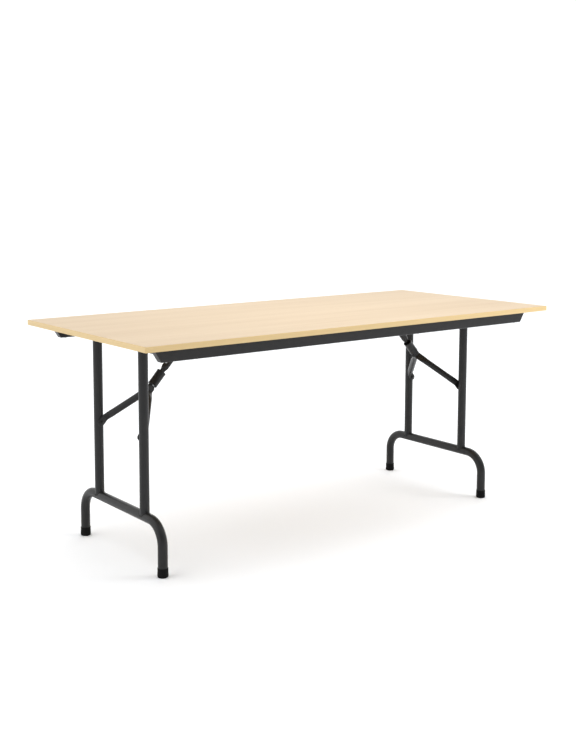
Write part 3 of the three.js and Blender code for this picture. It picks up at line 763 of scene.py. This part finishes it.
for end in ("left", "right"):
    foot_end, up_brace = brace_line(end)
    down_brace = -up_brace
    plane_way = np.array([-down_brace[2], 0.0, down_brace[0]])
    knee = foot_end + arm_length * up_brace

    stations = [(-strut_length - EYE, EYE, STRUT_FLAT),
                (-strut_length + STRUT_FLAT_TO, EYE, STRUT_FLAT),
                (-strut_length + STRUT_ROUND_FROM, STRUT_RADIUS, STRUT_RADIUS),
                (-KNEE_ROUND_TO, STRUT_RADIUS, STRUT_RADIUS),
                (-KNEE_FLAT_FROM, EYE, STRUT_FLAT), (EYE, EYE, STRUT_FLAT)]
    place, sizes = smooth_through(stations, 90)
    width = round_ends(place, sizes[:, 0], EYE, EYE)
    path = knee + place[:, None] * down_brace
    across = np.broadcast_to((0.0, 1.0, 0.0), path.shape)
    name = f"brace_strut_{end}"
    strut = pressed_shell(f"{name}_pressed", path, width, sizes[:, 1], across, plane_way)
    piece(f"{name}_pressed", strut, powder_coat, f"strut_{end}", "powder_coated_steel", name)

    for where, outward in (("front", -1.0), ("back", 1.0)):
        start, stop = ARM_BEND_AT_KNEE, arm_length - ARM_BEND_AT_LEG
        stations = [(-EYE, EYE, ARM_FLAT), (SHOULDER_FROM, EYE, ARM_FLAT),
                    (SHOULDER_TO, ARM_SHOULDER, ARM_FLAT), (start, ARM_SHOULDER, ARM_FLAT),
                    (start + KNEE_TAPER, ARM_RADIUS, ARM_RADIUS),
                    (stop - LEG_TAPER, ARM_RADIUS, ARM_RADIUS), (stop, ARM_PAD, ARM_FLAT),
                    (arm_length + ARM_PAD, ARM_PAD, ARM_FLAT)]
        place, sizes = smooth_through(stations, 110)
        width = round_ends(place, sizes[:, 0], EYE, ARM_PAD)
        spread = np.interp(place, [start, stop], [EYE_Y, PAD_Y])
        way = np.gradient(np.stack([place, spread], axis=1), axis=0)
        way /= np.linalg.norm(way, axis=1, keepdims=True)
        sideways = np.array([0.0, outward, 0.0])
        path = knee + place[:, None] * down_brace + spread[:, None] * sideways
        across = way[:, :1] * sideways - way[:, 1:] * down_brace
        name = f"brace_arm_{end}_{where}"
        arm = pressed_shell(f"{name}_pressed", path, width, sizes[:, 1], across, plane_way)
        piece(f"{name}_pressed", arm, powder_coat, f"arms_{end}", "powder_coated_steel", name)

# ---- Pins and rivets ----------------------------------------------------------------
# Zinc-plated pins with pressed heads at the knee and at the bracket, and domed rivets,
# coated with the frame, that hold the arms' pads against the legs.
PIN = 0.004
RIVET = 0.003
RIVET_HEAD = 0.0076
RIVET_RISE = 0.004
for end in ("left", "right"):
    for kind, body in (("knee", f"strut_{end}"), ("bracket", "top")):
        name = f"{kind}_pin_{end}"
        low, high = (np.array(corner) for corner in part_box(name))
        middle, half = (low + high) / 2, (high - low) / 2
        head, reach = half[0], half[1]
        rim = min(0.0008, head / 4)
        inside = reach - min(0.002, 0.4 * reach)
        one_end = ([(0.0, -reach), (0.62 * head, -reach + 0.0001)]
                   + arc(head - rim, -reach + 1.2 * rim, rim, -80, 0, 4)
                   + [(head, -inside), (PIN, -inside)])
        profile = one_end + [(radius, -along) for radius, along in reversed(one_end)]
        pin = turned_shell(f"{name}_headed", profile, middle, (0, 1, 0))
        piece(f"{name}_headed", pin, zinc, body, "zinc_plated_steel", name)
    for where, outward in (("front", -1.0), ("back", 1.0)):
        name = f"arm_rivet_{end}_{where}"
        low, high = (np.array(corner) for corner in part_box(name))
        middle, tall = (low + high) / 2, high[1] - low[1]
        inner = low[1] if outward > 0 else high[1]
        dome = np.linspace(0.0, np.pi / 2, 9)
        profile = [(RIVET_HEAD * math.sin(a), RIVET_RISE * (1 - math.cos(a)) * 0.92) for a in dome]
        profile += [(RIVET_HEAD, RIVET_RISE), (RIVET, RIVET_RISE), (RIVET, tall), (0.0, tall)]
        rivet = turned_shell(f"{name}_domed", profile, (middle[0], inner, middle[2]),
                             (0, outward, 0))
        piece(f"{name}_domed", rivet, powder_coat, f"arms_{end}", "powder_coated_steel", name)

# ---- Lock sleeves -------------------------------------------------------------------
# A length of tube with rolled rims, loose on each strut. It drops over the knee when the
# frame is opened and is pushed up by hand to fold it.
SLEEVE_BORE = 0.0135
SLEEVE_RADIUS = 0.0165
SLEEVE_LENGTH = 0.056
SLEEVE_PAST_KNEE = 0.003
SLEEVE_ROLL = 0.0011
SLEEVE_SHOULDER = 0.0040
SLEEVE_NECK = 0.0050
SLEEVE_WAIST = 0.0004
for end in ("left", "right"):
    foot_end, up_brace = brace_line(end)
    mouth = foot_end + (arm_length - SLEEVE_PAST_KNEE) * up_brace
    rim = ([(SLEEVE_BORE + SLEEVE_ROLL, 0.0)]
           + arc(SLEEVE_RADIUS - SLEEVE_ROLL, SLEEVE_ROLL, SLEEVE_ROLL, -90, 0))
    shoulder = [(SLEEVE_RADIUS, SLEEVE_SHOULDER), (SLEEVE_RADIUS - SLEEVE_WAIST, SLEEVE_NECK)]
    lower = rim + shoulder
    upper = [(radius, SLEEVE_LENGTH - along) for radius, along in reversed(lower)]
    bore = [(SLEEVE_BORE, SLEEVE_LENGTH - SLEEVE_ROLL), (SLEEVE_BORE, SLEEVE_ROLL), rim[0]]
    name = f"lock_sleeve_{end}"
    sleeve = turned_shell(f"{name}_rolled", lower + upper + bore, mouth, up_brace)
    piece(f"{name}_rolled", sleeve, powder_coat, f"sleeve_{end}", "powder_coated_steel", name)
